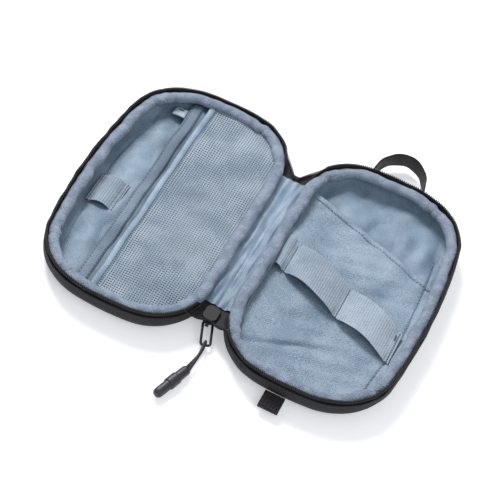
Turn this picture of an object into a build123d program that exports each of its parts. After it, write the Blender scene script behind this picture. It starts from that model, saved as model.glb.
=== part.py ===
"""Cable organizer pouch, lying open: a zip-around clamshell of two padded trays on a soft spine.

Millimetres. The origin is the centre of the back shell's flat resting face. +Z is up, +Y runs
along the spine towards the grab handle and +X from the spine out over the back shell.
"""
import math
import os

from build123d import *

os.makedirs("parts", exist_ok=True)

# Shells
SHELL_LENGTH = 195.0  # along Y
SHELL_WIDTH = 114.0  # along X, spine side to outer side
SHELL_HEIGHT = 19.0  # up to the plane where the two shells meet when the pouch is zipped shut
SPINE_CORNER = 40.0  # plan radius of the corners beside the spine
OUTER_CORNER = 44.0  # plan radius of the corners away from the spine
BOW = 9.0  # how far the end and outer sides bow out
BASE_ROUND = 12.0  # radius between a shell's floor and its walls
ROUND_MARGIN = 0.1  # gap between two sewn layers

# Layers of a shell, from outside in
OUTER_CLOTH = 0.9
PADDING = 2.6
LINING = 0.7
OUTER_TOP = 15.0
INNER_TOP = 11.2
PADDING_INSET = OUTER_CLOTH + ROUND_MARGIN
LINING_INSET = PADDING_INSET + PADDING + ROUND_MARGIN
CAVITY_INSET = LINING_INSET + LINING

# Zip
TAPE_INSET = 1.1
TAPE_THICKNESS = 0.9
TAPE_BASE = 11.5
TEETH_BASE = 17.2
TEETH_TOP = 18.8
TEETH_INSET = 0.6
TEETH_WIDTH = 1.7
ZIP_START = 79.0  # the chain leaves each rim at this distance from the middle of the spine

# Padded binding roll inside the rim
ROLL_RADIUS = 3.0
ROLL_INSET = 5.75
ROLL_SHIFT = 1.0  # towards the spine
ROLL_Z = 14.3

# Soft spine between the shells
HINGE_GAP = 7.0  # from a shell's side to the middle of the spine
SPINE_X = -(SHELL_WIDTH / 2 + HINGE_GAP)
SPINE_HALF_WIDTH = HINGE_GAP - 0.3
SPINE_LINING_Z = 10.9
SPINE_COVER_Z = 9.9
SPINE_LAYER = 0.7

# Pockets and bands of the back shell
SLIP_POCKET_Z = 9.2
SLIP_POCKET_CLOTH = 0.7
SLIP_INSET = 5.3
MOUTH_SLOPE = -0.344  # the mouth runs down from the spine side to the outer side
MOUTH_Y = 45.5  # height of the mouth over the middle of the shell
HEM_WIDTH = 4.5
HEM_FOLD = 0.9
BAND_WIDTH = 25.0  # elastic webbing
BAND_ANGLE = -20.7
BAND_Y = -13.7  # where the band's centre line crosses the middle of the shell
BAND_THICKNESS = 1.2
BAND_LOW = SLIP_POCKET_Z + SLIP_POCKET_CLOTH + 0.05
BAND_FEET = ((-51.0, -49.0), (-41.8, -38.8), (0.3, 3.3), (40.5, 43.5))
BAND_RISES = (2.5, 5.6, 5.6)

# Pockets of the front cover, in the cover's own directions, away from the spine and -Y
INNER_POCKET_Z = 8.8
INNER_POCKET_MOUTH = 20.5
INNER_CLOTH = 0.6
TRIM_WIDTH = 8.0
MESH_Z = 14.2
MESH_MOUTH = 9.5
MESH_INSET = 8.6
SHORT_BAND_X = (25.5, 45.0)
SHORT_BAND_Y = 10.0
SHORT_BAND_RISE = 3.0
LABEL_PLACE = (25.7, -77.0)
LABEL_SIZE = (9.0, 8.0)
LABEL_THICKNESS = 1.2
LABEL_CORNER = 0.6

# Slider and pull
SLIDER_X = SPINE_X - 0.7
SLIDER_Y = -66.3
SLIDER_LENGTH = 12.0
SLIDER_WIDTH = 9.6
INNER_PLATE = (10.3, 1.3)  # underside and thickness
CORE = (8.3, 2.1)
OUTER_PLATE = (7.0, 1.4)
BRIDGE_HALF_WIDTH = 1.0
BRIDGE = [(-62.4, 7.1), (-63.6, 3.5), (-71.4, 3.5), (-72.0, 4.2), (-72.0, 7.1)]  # side view, y and z
BRIDGE_HOLE = [(-64.2, 7.0), (-64.8, 4.65), (-70.7, 4.65), (-70.7, 7.0)]
PULLER_YAW = 20.0
PULLER_PITCH = 9.0
PULLER_PIVOT = Vector(SLIDER_X, -69.5, 5.85)
PULLER_LENGTH = 16.2  # crossbar to end bar
PULLER_BAR = 1.6
PULLER_WIDTH = 7.6
PULLER_THICKNESS = 1.4
PULLER_EDGE = 0.45
CORD_DIAMETER = 2.0
GRIP_YAW = -17.0
GRIP_MOUTH = Vector(-60.85, -106.8, 3.9)
GRIP_LENGTH = 28.0
GRIP_RADIUS = 3.2
GRIP_EDGE = 0.9
SLEEVE_START = 9.0
SLEEVE_LENGTH = 8.0
SLEEVE_RISE = 0.6
CORD_ROUTE = [
    (-59.85, -107.1, 3.9),
    (-59.25, -98.9, 4.6),
    (-58.95, -91.0, 5.5),
    (-59.95, -82.57, 5.8),
    (-59.95, -82.57, 1.1),
    (-59.5, -91.0, 1.15),
    (-61.0, -98.9, 1.4),
    (-61.85, -106.5, 3.9),
]

# Webbing outside the back shell
HANDLE_THICKNESS = 1.6
HANDLE_Z = 8.8
HANDLE_HALF_HEIGHT = 5.4
HANDLE_SEWN_Y = 101.0  # the legs are narrow here and full height from HANDLE_FULL_Y
HANDLE_FULL_Y = 106.5
HANDLE_LEG_HALF_HEIGHT = 2.0
HANDLE_ARCH = [(-22.7, 100.9), (-18.8, 112.5), (-6.5, 124.0), (6.9, 113.5), (12.7, 100.9)]
LOOP_X = -7.5
LOOP_Y = -103.9
LOOP_Z = 5.0
LOOP_WIDTH = 13.0
LOOP_LENGTH = 11.2
LOOP_THICKNESS = 3.8
LOOP_SLOT = (8.4, 1.3)  # the space inside the fold, along Y and Z


def save(piece, label):
    """Name a finished piece and write it as its own STEP file."""
    piece.label = label
    export_step(piece, f"parts/{label}.step")


def shell_plane(side):
    """Resting plane of the back shell (1) or the front cover (-1), x running away from the spine."""
    centre = 0 if side > 0 else 2 * SPINE_X
    return Plane(origin=(centre, 0, 0), x_dir=(side, 0, 0), z_dir=(0, 0, 1))


def outline(inset=0.0):
    """Plan of a shell: straight beside the spine, bowed elsewhere, with large rounded corners."""
    side = SHELL_WIDTH / 2
    end = SHELL_LENGTH / 2
    with BuildSketch() as plan:
        with BuildLine():
            Line((-side, BOW - end), (-side, end - BOW))
            ThreePointArc((-side, end - BOW), (0, end), (side - BOW, end - BOW))
            ThreePointArc((side - BOW, end - BOW), (side, 0), (side - BOW, BOW - end))
            ThreePointArc((side - BOW, BOW - end), (0, -end), (-side, BOW - end))
        make_face()
        fillet(plan.vertices().sort_by(Axis.X)[:2], SPINE_CORNER)
        fillet(plan.vertices().sort_by(Axis.X)[-2:], OUTER_CORNER)
        if inset:
            offset(amount=-inset)
    return plan.sketch


def filled_tray(plane, inset, top):
    """Solid that fills a shell from `inset` inside its surface up to the height `top`."""
    with BuildPart() as block:
        with BuildSketch(plane.offset(inset)):
            add(outline(inset))
        extrude(amount=SHELL_HEIGHT - inset)
        fillet(block.faces().sort_by(Axis.Z)[0].edges(), BASE_ROUND - inset)
        split(bisect_by=plane.offset(top), keep=Keep.BOTTOM)
    return block.part


def tray_layer(plane, inset, thickness, top):
    """One cloth or padding layer of a shell: a rounded tray, open at the top."""
    with BuildPart() as layer:
        add(filled_tray(plane, inset, top))
        add(filled_tray(plane, inset + thickness, top + 1), mode=Mode.SUBTRACT)
    return layer.part


def rim_strip(plane, inset, width, low, high):
    """Upright strip that follows the rim and stops on both sides of the spine."""
    with BuildPart() as strip:
        with BuildSketch(plane.offset(low)):
            add(outline(inset))
            add(outline(inset + width), mode=Mode.SUBTRACT)
            with Locations((-SHELL_WIDTH / 2, 0)):
                Rectangle(SPINE_CORNER, 2 * ZIP_START, mode=Mode.SUBTRACT)
        extrude(amount=high - low)
    return strip.part


def binding_roll(plane):
    """Round padded roll that covers the raw edges all round the inside of a rim."""
    with BuildSketch(plane.offset(ROLL_Z)) as loop:
        with Locations((-ROLL_SHIFT, 0)):
            add(outline(ROLL_INSET))
    path = loop.sketch.face().outer_wire()
    with BuildPart() as roll:
        with BuildSketch(Plane(origin=path @ 0, z_dir=path % 0)):
            Circle(ROLL_RADIUS)
        sweep(path=path)
    return roll.part


def arched_band(low, feet, rises):
    """Elastic band in section: flat sewn feet with an arch of cloth between each pair."""
    with BuildSketch() as section:
        for start, end in feet:
            with Locations(((start + end) / 2, low + BAND_THICKNESS / 2)):
                Rectangle(end - start, BAND_THICKNESS)
        for (_, start), (end, _), rise in zip(feet, feet[1:], rises):
            middle = (start + end) / 2
            high = low + BAND_THICKNESS
            with BuildLine():
                ThreePointArc((start, high), (middle, high + rise), (end, high))
                Line((end, high), (end, low))
                ThreePointArc((end, low), (middle, low + rise), (start, low))
                Line((start, low), (start, high))
            make_face()
    return section.sketch


def slip_pocket_area(width_below_mouth=None):
    """Plan of the diagonal slip pocket, or of a strip of that width along its mouth."""
    side = SHELL_WIDTH / 2
    left = MOUTH_Y - MOUTH_SLOPE * side
    right = MOUTH_Y + MOUTH_SLOPE * side
    depth = width_below_mouth or SHELL_LENGTH * 2
    with BuildSketch() as area:
        add(outline(SLIP_INSET))
        with BuildLine():
            Polyline((-side, left), (side, right), (side, right - depth), (-side, left - depth), close=True)
        make_face(mode=Mode.INTERSECT)
    return area.sketch


# The two shells
for shell_side, shell_name in ((1, "back"), (-1, "front")):
    base = shell_plane(shell_side)

    with BuildPart() as outer_shell:
        add(tray_layer(base, 0, OUTER_CLOTH, OUTER_TOP))
    save(outer_shell.part, f"{shell_name}_outer_shell")

    with BuildPart() as padding:
        add(tray_layer(base, PADDING_INSET, PADDING, INNER_TOP))
    save(padding.part, f"{shell_name}_padding")

    with BuildPart() as lining:
        add(tray_layer(base, LINING_INSET, LINING, INNER_TOP))
    save(lining.part, f"{shell_name}_lining")

    with BuildPart() as zip_tape:
        add(rim_strip(base, TAPE_INSET, TAPE_THICKNESS, TAPE_BASE, TEETH_BASE))
    save(zip_tape.part, f"{shell_name}_zip_tape")

    with BuildPart() as zip_teeth:
        add(rim_strip(base, TEETH_INSET, TEETH_WIDTH, TEETH_BASE, TEETH_TOP))
    save(zip_teeth.part, f"{shell_name}_zip_teeth")

    with BuildPart() as binding:
        add(binding_roll(base))
    save(binding.part, f"{shell_name}_binding")

# Diagonal slip pocket of the back shell, with its folded hem
back = shell_plane(1)

with BuildPart() as slip_pocket:
    with BuildSketch(back.offset(SLIP_POCKET_Z)):
        add(slip_pocket_area())
    extrude(amount=SLIP_POCKET_CLOTH)
save(slip_pocket.part, "slip_pocket")

with BuildPart() as slip_pocket_hem:
    with BuildSketch(back.offset(SLIP_POCKET_Z + SLIP_POCKET_CLOTH)):
        add(slip_pocket_area(HEM_WIDTH))
    extrude(amount=HEM_FOLD)
save(slip_pocket_hem.part, "slip_pocket_hem")

# Thin piped edge of the pocket lining, beside the roll on the spine side
PIPING_RADIUS = 0.6
PIPING_INSET = 8.1
PIPING_Z = 12.9
PIPING_ENDS = (-56.0, 54.0)
with BuildPart() as lining_piping:
    with BuildSketch(Plane.XZ.offset(-PIPING_ENDS[0])):
        with Locations((PIPING_INSET - SHELL_WIDTH / 2, PIPING_Z)):
            Circle(PIPING_RADIUS)
    extrude(amount=PIPING_ENDS[0] - PIPING_ENDS[1])
save(lining_piping.part, "lining_piping")

# Wide elastic band, sewn down at both ends and at two stitch lines so that it makes three loops
with BuildPart() as elastic_band:
    with BuildSketch(Plane.XZ.offset(SHELL_WIDTH / 2)):
        add(arched_band(BAND_LOW, BAND_FEET, BAND_RISES))
    extrude(amount=-SHELL_WIDTH)
    with BuildSketch(Plane.XY):
        with Locations(Location((0, BAND_Y, 0), (0, 0, BAND_ANGLE))):
            Rectangle(SHELL_WIDTH * 1.2, BAND_WIDTH)
    extrude(amount=SHELL_HEIGHT, mode=Mode.INTERSECT)
save(elastic_band.part, "elastic_band")

# Thread tacks along the band's stitch lines and its outer end
TACK_WIDTH = 0.9
TACK_HEIGHT = 0.35
with BuildPart() as band_tacks:
    with BuildSketch(Plane.XY.offset(BAND_LOW + BAND_THICKNESS)):
        for foot_start, foot_end in BAND_FEET[1:]:
            foot_x = (foot_start + foot_end) / 2
            foot_y = BAND_Y + foot_x * math.tan(math.radians(BAND_ANGLE))
            with Locations((foot_x, foot_y)):
                Rectangle(TACK_WIDTH, BAND_WIDTH * 0.92)
    extrude(amount=TACK_HEIGHT)
save(band_tacks.part, "band_tacks")

# Inner slip pocket of the front cover, with its ribbed trim and small label tab
front = shell_plane(-1)


def front_panel(inset, low, mouth, thickness, width=None):
    """Flat pocket layer of the cover, from the spine side or from `width` before the mouth."""
    start = mouth - width if width else -SHELL_WIDTH
    with BuildPart() as panel:
        with BuildSketch(front.offset(low)):
            add(outline(inset))
            with Locations(((start + mouth) / 2, 0)):
                Rectangle(mouth - start, SHELL_LENGTH, mode=Mode.INTERSECT)
        extrude(amount=thickness)
    return panel.part


with BuildPart() as inner_pocket:
    add(front_panel(SLIP_INSET, INNER_POCKET_Z, INNER_POCKET_MOUTH, INNER_CLOTH))
save(inner_pocket.part, "inner_pocket")

with BuildPart() as inner_pocket_trim:
    trim_z = INNER_POCKET_Z + INNER_CLOTH
    add(front_panel(SLIP_INSET + 1, trim_z, INNER_POCKET_MOUTH + 0.4, INNER_CLOTH, TRIM_WIDTH))
save(inner_pocket_trim.part, "inner_pocket_trim")

with BuildPart() as label_tab:
    with BuildSketch(front.offset(INNER_POCKET_Z)):
        with Locations(LABEL_PLACE):
            RectangleRounded(*LABEL_SIZE, LABEL_CORNER)
    extrude(amount=LABEL_THICKNESS)
save(label_tab.part, "label_tab")

# Mesh pocket of the front cover, with its folded hem
with BuildPart() as mesh_pocket:
    add(front_panel(MESH_INSET, MESH_Z, MESH_MOUTH, INNER_CLOTH))
save(mesh_pocket.part, "mesh_pocket")

with BuildPart() as mesh_pocket_hem:
    hem_z = MESH_Z + INNER_CLOTH
    add(front_panel(MESH_INSET + 0.4, hem_z, MESH_MOUTH, INNER_CLOTH, HEM_WIDTH))
save(mesh_pocket_hem.part, "mesh_pocket_hem")

# Short elastic band on the cover's floor
with BuildPart() as short_band:
    short_start, short_end = SHORT_BAND_X
    short_feet = ((short_start, short_start + 2.5), (short_end - 2.5, short_end))
    short_plane = Plane(origin=(2 * SPINE_X, -SHORT_BAND_Y, 0), x_dir=(-1, 0, 0), z_dir=(0, 1, 0))
    with BuildSketch(short_plane):
        add(arched_band(CAVITY_INSET + 0.05, short_feet, (SHORT_BAND_RISE,)))
    extrude(amount=BAND_WIDTH / 2, both=True)
save(short_band.part, "short_elastic_band")

# Soft spine: outer cloth, lining, and a black gusset where the zip chain leaves each end
LINING_ENDS = (-57.5, 60.5)
COVER_ENDS = (-58.6, 67.0)
UPPER_GUSSET = [(-6.7, 60.8), (6.7, 60.8), (5.5, 68), (1.5, 76), (-1.5, 76), (-5.5, 68)]
LOWER_GUSSET = [(-6.7, -58.9), (-6.7, -69), (6.7, -71), (6.7, -58.9)]
SLIDER_CUTOUT_Y = -70.2  # centre of the gusset's cutout round the slider
SLIDER_CUTOUT = (10.2, 20.0)
for layer_name, layer_z, ends in (
    ("spine_cover", SPINE_COVER_Z, COVER_ENDS),
    ("spine_lining", SPINE_LINING_Z, LINING_ENDS),
):
    with BuildPart() as spine_layer:
        with BuildSketch(Plane.XY.offset(layer_z)):
            with Locations((SPINE_X, sum(ends) / 2)):
                Rectangle(2 * SPINE_HALF_WIDTH, ends[1] - ends[0])
        extrude(amount=SPINE_LAYER)
    save(spine_layer.part, layer_name)

with BuildPart() as upper_gusset:
    with BuildSketch(Plane((SPINE_X, 0, SPINE_LINING_Z))):
        with BuildLine():
            Polyline(*UPPER_GUSSET, close=True)
        make_face()
    extrude(amount=SPINE_LAYER)
save(upper_gusset.part, "upper_gusset")

with BuildPart() as lower_gusset:
    with BuildSketch(Plane((SPINE_X, 0, SPINE_COVER_Z))):
        with BuildLine():
            Polyline(*LOWER_GUSSET, close=True)
        make_face()
        with Locations((SLIDER_X - SPINE_X, SLIDER_CUTOUT_Y)):
            Rectangle(*SLIDER_CUTOUT, mode=Mode.SUBTRACT)
    extrude(amount=SPINE_LAYER)
save(lower_gusset.part, "lower_gusset")

# Zip slider: inner plate, core, outer plate and the bridge that holds the puller
with BuildPart() as zip_slider:
    with BuildSketch(Plane(origin=(SLIDER_X, SLIDER_Y, INNER_PLATE[0]))):
        RectangleRounded(SLIDER_WIDTH, SLIDER_LENGTH, SLIDER_WIDTH * 0.375)
    extrude(amount=INNER_PLATE[1])
    fillet(zip_slider.faces().sort_by(Axis.Z)[-1].edges(), INNER_PLATE[1] * 0.46)
    with BuildSketch(Plane(origin=(SLIDER_X, SLIDER_Y + SLIDER_LENGTH * 0.22, CORE[0]))):
        RectangleRounded(SLIDER_WIDTH / 3, SLIDER_LENGTH / 2, 1.2)
    extrude(amount=CORE[1])
    with BuildSketch(Plane(origin=(SLIDER_X, SLIDER_Y, OUTER_PLATE[0]))):
        RectangleRounded(SLIDER_WIDTH - 1.2, SLIDER_LENGTH - 0.5, 3.0)
    extrude(amount=OUTER_PLATE[1])
    with BuildSketch(Plane(origin=(SLIDER_X, 0, 0), x_dir=(0, 1, 0), z_dir=(1, 0, 0))):
        with BuildLine():
            Polyline(*BRIDGE, close=True)
        make_face()
        with BuildLine():
            Polyline(*BRIDGE_HOLE, close=True)
        make_face(mode=Mode.SUBTRACT)
    extrude(amount=BRIDGE_HALF_WIDTH, both=True)
save(zip_slider.part, "zip_slider")

# Puller: a rounded ring whose crossbar sits in the slider's bridge
yaw = math.radians(PULLER_YAW)
pitch = math.radians(PULLER_PITCH)
puller_way = Vector(math.sin(yaw) * math.cos(pitch), -math.cos(yaw) * math.cos(pitch), -math.sin(pitch))
puller_across = Vector(math.cos(yaw), math.sin(yaw), 0)
puller_plane = Plane(origin=PULLER_PIVOT, x_dir=puller_way, z_dir=puller_across.cross(puller_way) * -1)
with BuildPart() as zip_puller:
    with BuildSketch(puller_plane):
        with Locations((PULLER_LENGTH / 2, 0)):
            RectangleRounded(PULLER_LENGTH + PULLER_BAR, PULLER_WIDTH, 2.6)
            opening = (PULLER_LENGTH - PULLER_BAR, PULLER_WIDTH - 2 * PULLER_BAR)
            RectangleRounded(*opening, 1.2, mode=Mode.SUBTRACT)
    extrude(amount=PULLER_THICKNESS / 2, both=True)
    fillet(zip_puller.edges(), PULLER_EDGE)
save(zip_puller.part, "zip_puller")

# Pull: a doubled cord round the ring's end bar, and the rubber grip that holds both its ends
route = [Vector(*point) for point in CORD_ROUTE]
runs = [(after - before).length for before, after in zip(route, route[1:])]
turns = [(b - a).get_angle(c - b) for a, b, c in zip(route, route[1:], route[2:])]
radii = [
    0.45 * min(before, after) / math.tan(math.radians(turn) / 2)
    for before, after, turn in zip(runs, runs[1:], turns)
]
print("pull_cord radii", [round(radius, 1) for radius in radii])
with BuildPart() as pull_cord:
    with BuildLine() as cord_line:
        FilletPolyline(*route, radius=radii)
    cord_path = cord_line.wire()
    with BuildSketch(Plane(origin=cord_path @ 0, z_dir=cord_path % 0)):
        Circle(CORD_DIAMETER / 2)
    sweep(path=cord_path)
cord_section = math.pi * CORD_DIAMETER**2 / 4
print("pull_cord length", round(cord_path.length, 1), "volume ratio",
      round(pull_cord.part.volume / (cord_section * cord_path.length), 4))
save(pull_cord.part, "pull_cord")

grip_way = Vector(math.sin(math.radians(GRIP_YAW)), -math.cos(math.radians(GRIP_YAW)), 0)
with BuildPart() as pull_grip:
    with BuildSketch(Plane(origin=GRIP_MOUTH, z_dir=grip_way)):
        Circle(GRIP_RADIUS)
    extrude(amount=GRIP_LENGTH)
    fillet(pull_grip.edges(), GRIP_EDGE)
save(pull_grip.part, "pull_grip")

with BuildPart() as grip_sleeve:
    with BuildSketch(Plane(origin=GRIP_MOUTH + grip_way * SLEEVE_START, z_dir=grip_way)):
        Circle(GRIP_RADIUS + SLEEVE_RISE)
        Circle(GRIP_RADIUS + 0.02, mode=Mode.SUBTRACT)
    extrude(amount=SLEEVE_LENGTH)
save(grip_sleeve.part, "grip_sleeve")

# Grab handle: a webbing arch standing on its edge, its legs narrowed where they are sewn in
with BuildPart() as grab_handle:
    with BuildSketch(Plane.XY.offset(HANDLE_Z - HANDLE_HALF_HEIGHT)):
        with BuildLine() as arch:
            Spline(*HANDLE_ARCH, tangents=((0.2, 1), (0.25, -1)))
        trace(arch.line, line_width=HANDLE_THICKNESS)
    extrude(amount=2 * HANDLE_HALF_HEIGHT)
    with BuildSketch(Plane.YZ.offset(-40)):
        with BuildLine():
            lower_edge = [
                (HANDLE_SEWN_Y - 1, -HANDLE_LEG_HALF_HEIGHT),
                (HANDLE_SEWN_Y, -HANDLE_LEG_HALF_HEIGHT),
                (HANDLE_FULL_Y, -HANDLE_HALF_HEIGHT),
                (HANDLE_FULL_Y + 24, -HANDLE_HALF_HEIGHT),
            ]
            upper_edge = [(y, -half_height) for y, half_height in reversed(lower_edge)]
            Polyline(*((y, HANDLE_Z + off) for y, off in lower_edge + upper_edge), close=True)
        make_face()
    extrude(amount=80, mode=Mode.INTERSECT)
save(grab_handle.part, "grab_handle")

# Loop tab: ribbed webbing folded over on itself
with BuildPart() as loop_tab:
    with BuildSketch(Plane.YZ.offset(LOOP_X - LOOP_WIDTH / 2)):
        with Locations((LOOP_Y, LOOP_Z)):
            RectangleRounded(LOOP_LENGTH, LOOP_THICKNESS, 1.8)
        with Locations((LOOP_Y - 0.3, LOOP_Z)):
            RectangleRounded(*LOOP_SLOT, 0.6, mode=Mode.SUBTRACT)
    extrude(amount=LOOP_WIDTH)
save(loop_tab.part, "loop_tab")
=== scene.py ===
"""Looks of a cable organizer pouch that lies open: cloth shells, padded rolls, pockets, zip and pull.

Shapes are worked out in millimetres and turned to metres when they become meshes. A shell has its own
plan directions: u away from the spine and v along it, with the middle of the shell at zero.
"""
import math

import bmesh
import bpy
import numpy as np
from mathutils import Matrix, Vector


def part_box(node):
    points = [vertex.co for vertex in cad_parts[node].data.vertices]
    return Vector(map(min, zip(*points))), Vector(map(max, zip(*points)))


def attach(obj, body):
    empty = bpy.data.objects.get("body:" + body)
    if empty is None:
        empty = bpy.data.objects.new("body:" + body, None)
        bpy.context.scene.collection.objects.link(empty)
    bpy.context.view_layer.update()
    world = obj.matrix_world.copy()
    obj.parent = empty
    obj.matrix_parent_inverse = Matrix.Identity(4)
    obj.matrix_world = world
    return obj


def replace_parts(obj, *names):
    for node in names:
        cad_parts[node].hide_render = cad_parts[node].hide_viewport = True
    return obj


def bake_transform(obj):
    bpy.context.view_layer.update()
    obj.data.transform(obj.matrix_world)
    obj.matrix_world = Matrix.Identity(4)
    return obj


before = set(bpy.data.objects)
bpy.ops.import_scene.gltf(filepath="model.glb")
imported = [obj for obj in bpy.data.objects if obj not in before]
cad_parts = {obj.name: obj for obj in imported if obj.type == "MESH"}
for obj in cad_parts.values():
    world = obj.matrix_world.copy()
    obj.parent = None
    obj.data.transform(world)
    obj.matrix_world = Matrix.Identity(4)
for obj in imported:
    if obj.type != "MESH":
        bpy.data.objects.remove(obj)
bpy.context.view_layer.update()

MM = 0.001
TAU = 2 * math.pi


def reach(node, axis):
    """Lowest and highest place of a CAD node along one axis, in millimetres."""
    low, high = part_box(node)
    return low[axis] / MM, high[axis] / MM


# Shells, from the frame
SIDE = reach("back_outer_shell", 0)[1]
END = reach("back_outer_shell", 1)[1]
SPINE_X = sum(reach("spine_lining", 0)) / 2
WALL_TOP = reach("back_outer_shell", 2)[1]
ROLL_Z = sum(reach("back_binding", 2)) / 2
TEETH_TOP = reach("back_zip_teeth", 2)[1]
SPINE_LINING_Z = reach("spine_lining", 2)[0]
SPINE_COVER_Z = reach("spine_cover", 2)[0]
POCKET_Z = reach("slip_pocket", 2)[0]
MESH_Z = reach("mesh_pocket", 2)[0]
INNER_Z = reach("inner_pocket", 2)[0]
BAND_Z = reach("elastic_band", 2)[0]
SHELLS = {"back": ("back_shell", 1, 0.0), "front": ("front_cover", -1, 2 * SPINE_X)}

# Plan and section of a shell
BOW = 9.0  # how far the ends and the outer side bow out
SPINE_CORNER = 40.0
OUTER_CORNER = 44.0
BASE_ROUND = 12.0  # between floor and wall
SEAM_TURN = math.radians(42)  # where the base seam lies on that round
LINING_INSET = 4.4
ZIP_START = 79.0  # the chain leaves each rim at this distance from the middle of the spine
TAPE_START = 63.0  # the tape rises out of the seam here, before it carries the chain
TOOTH_PITCH = 1.45
TOOTH_HALVES = (0.5, 1.1, 0.72)  # half a tooth along the chain, across it and upwards
TAPE_INSET = 1.35  # the tape and its chain stand this far inside the rim
CHAIN_Z = TEETH_TOP - 0.85  # middle of the teeth
POCKET_INSET = 5.0  # edge of the pockets under the roll
SEAM_STITCH = 1.3  # the stitches run this far inside the floor seam


# ---------------------------------------------------------------- plan of a shell

def circle_through(first, second, third):
    """Centre and radius of the circle through three points, where two of their bisectors meet."""
    a, b, c = (np.array(point, float) for point in (first, second, third))
    centre = np.linalg.solve(2 * np.array([b - a, c - b]), np.array([b @ b - a @ a, c @ c - b @ b]))
    return centre, np.linalg.norm(a - centre)


def corner_circle(one, other, radius, towards):
    """Centre of a corner that touches two larger circles from inside.

    It stands as far from each centre as the radii differ, on the side that `towards` points to.
    """
    (first, first_radius), (second, second_radius) = one, other
    gap = second - first
    distance = np.linalg.norm(gap)
    from_first, from_second = first_radius - radius, second_radius - radius
    along = (from_first**2 - from_second**2 + distance**2) / (2 * distance)
    aside = math.sqrt(from_first**2 - along**2)
    across = np.array([-gap[1], gap[0]]) / distance
    ends = [first + gap / distance * along + way * aside * across for way in (1, -1)]
    return max(ends, key=lambda end: end @ np.array(towards))


def outline_table():
    """Arc length, points and outward normals round a shell, from the middle of the spine side.

    Four nearly straight sides are arcs of large circles, and four corner arcs touch them inside.
    """
    flat = 1e5
    top = circle_through((-SIDE, END - BOW), (0, END), (SIDE - BOW, END - BOW))
    outer = circle_through((SIDE - BOW, BOW - END), (SIDE, 0), (SIDE - BOW, END - BOW))
    bottom = (top[0] * (1, -1), top[1])
    spine = (np.array([flat - SIDE, 0.0]), flat)
    sides = [spine, bottom, outer, top]
    turns = [(-1, -1), (1, -1), (1, 1), (-1, 1)]
    radii = [SPINE_CORNER, OUTER_CORNER, OUTER_CORNER, SPINE_CORNER]
    corners = [
        corner_circle(sides[k], sides[(k + 1) % 4], radii[k], turns[k]) for k in range(4)
    ]
    points, normals = [], []
    for k, (centre, radius) in enumerate(sides):
        before, after = corners[k - 1] - centre, corners[k] - centre
        onward = corners[k] - sides[(k + 1) % 4][0]
        start, stop, end = (math.atan2(way[1], way[0]) for way in (before, after, onward))
        stop += TAU * (stop < start)
        end += TAU * (end < stop)
        for middle, size, angles in (
            (centre, radius, np.linspace(start, stop, 400)),
            (corners[k], radii[k], np.linspace(stop, end, 400)),
        ):
            normal = np.stack([np.cos(angles), np.sin(angles)], axis=1)
            points.append(middle + size * normal)
            normals.append(normal)
    points, normals = np.concatenate(points), np.concatenate(normals)
    start = np.argmin(np.abs(points[:400, 1]))
    points, normals = np.roll(points, -start, axis=0), np.roll(normals, -start, axis=0)
    points, normals = np.vstack([points, points[:1]]), np.vstack([normals, normals[:1]])
    return travelled(points), points, normals


def travelled(path):
    """Distance gone along a path of straight steps, at each of its points."""
    return np.concatenate([[0.0], np.cumsum(np.linalg.norm(np.diff(path, axis=0), axis=1))])


RIM_LENGTHS, RIM_POINTS, RIM_NORMALS = outline_table()
PERIMETER = RIM_LENGTHS[-1]


def unit(ways):
    """Directions scaled to length 1."""
    return ways / np.linalg.norm(ways, axis=-1, keepdims=True)


def read_outline(table, s):
    """Points or normals of the outline at arc length s, read between the rows of their table."""
    at = np.mod(s, PERIMETER)
    return np.stack([np.interp(at, RIM_LENGTHS, table[:, k]) for k in (0, 1)], axis=-1)


def rim_normal(s):
    """Outward normal of the outline at arc length s."""
    return unit(read_outline(RIM_NORMALS, s))


def rim(s, inset=0.0):
    """Plan point at arc length s on the outline, moved in by `inset` along its normal."""
    return read_outline(RIM_POINTS, s) - np.asarray(inset)[..., None] * rim_normal(s)


def spine_side(s, half_length, soft):
    """1 beside the spine, 0 elsewhere: a smooth step where |v| passes half_length."""
    u, v = np.moveaxis(rim(s), -1, 0)
    step = np.clip((half_length + soft - np.abs(v)) / (2 * soft), 0, 1)
    return np.where(u < 0, step * step * (3 - 2 * step), 0.0)


def cornering(s):
    """1 in the rounded corners, 0 along the sides, from how far the normal leans from both axes."""
    return np.clip(np.abs(np.prod(rim_normal(s), axis=-1)) * 3, 0, 1)


def place(shell, plan, height):
    """Row points of a shell's plan points at the given heights. The front cover is turned half round."""
    _, way, centre = SHELLS[shell]
    high = np.broadcast_to(height, plan.shape[:-1])
    return np.stack([centre + way * plan[..., 0], way * plan[..., 1], high], axis=-1)


def around(count):
    """Evenly spaced arc lengths all round the outline."""
    return np.arange(count) / count * PERIMETER


def full_turn(count):
    """Evenly spaced angles all round."""
    return np.arange(count) / count * TAU


# ---------------------------------------------------------------- relief

def waves(x, y, length, seed, count=14):
    """Random smooth relief, about -1 to 1: a sum of plane waves of about one length, in random ways."""
    draw = np.random.default_rng(seed)
    ways, shifts = draw.uniform(0, TAU, count), draw.uniform(0, TAU, count)
    total = 0.0
    for way, shift, stretch in zip(ways, shifts, draw.uniform(0.6, 1.5, count)):
        total = total + np.sin((x * math.cos(way) + y * math.sin(way)) * TAU * stretch / length + shift)
    return total / math.sqrt(count / 2)


def loop_waves(s, turn, length, seed, twist=1, count=14):
    """Random relief on a closed tube: waves with whole periods along it (s) and round it (turn)."""
    draw = np.random.default_rng(seed)
    total = 0.0
    for _ in range(count):
        periods = round(PERIMETER / length * draw.uniform(0.6, 1.5))
        total = total + np.sin(s / PERIMETER * TAU * periods + turn * draw.integers(-twist, twist + 1)
                               + draw.uniform(0, TAU))
    return total / math.sqrt(count / 2)


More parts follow.
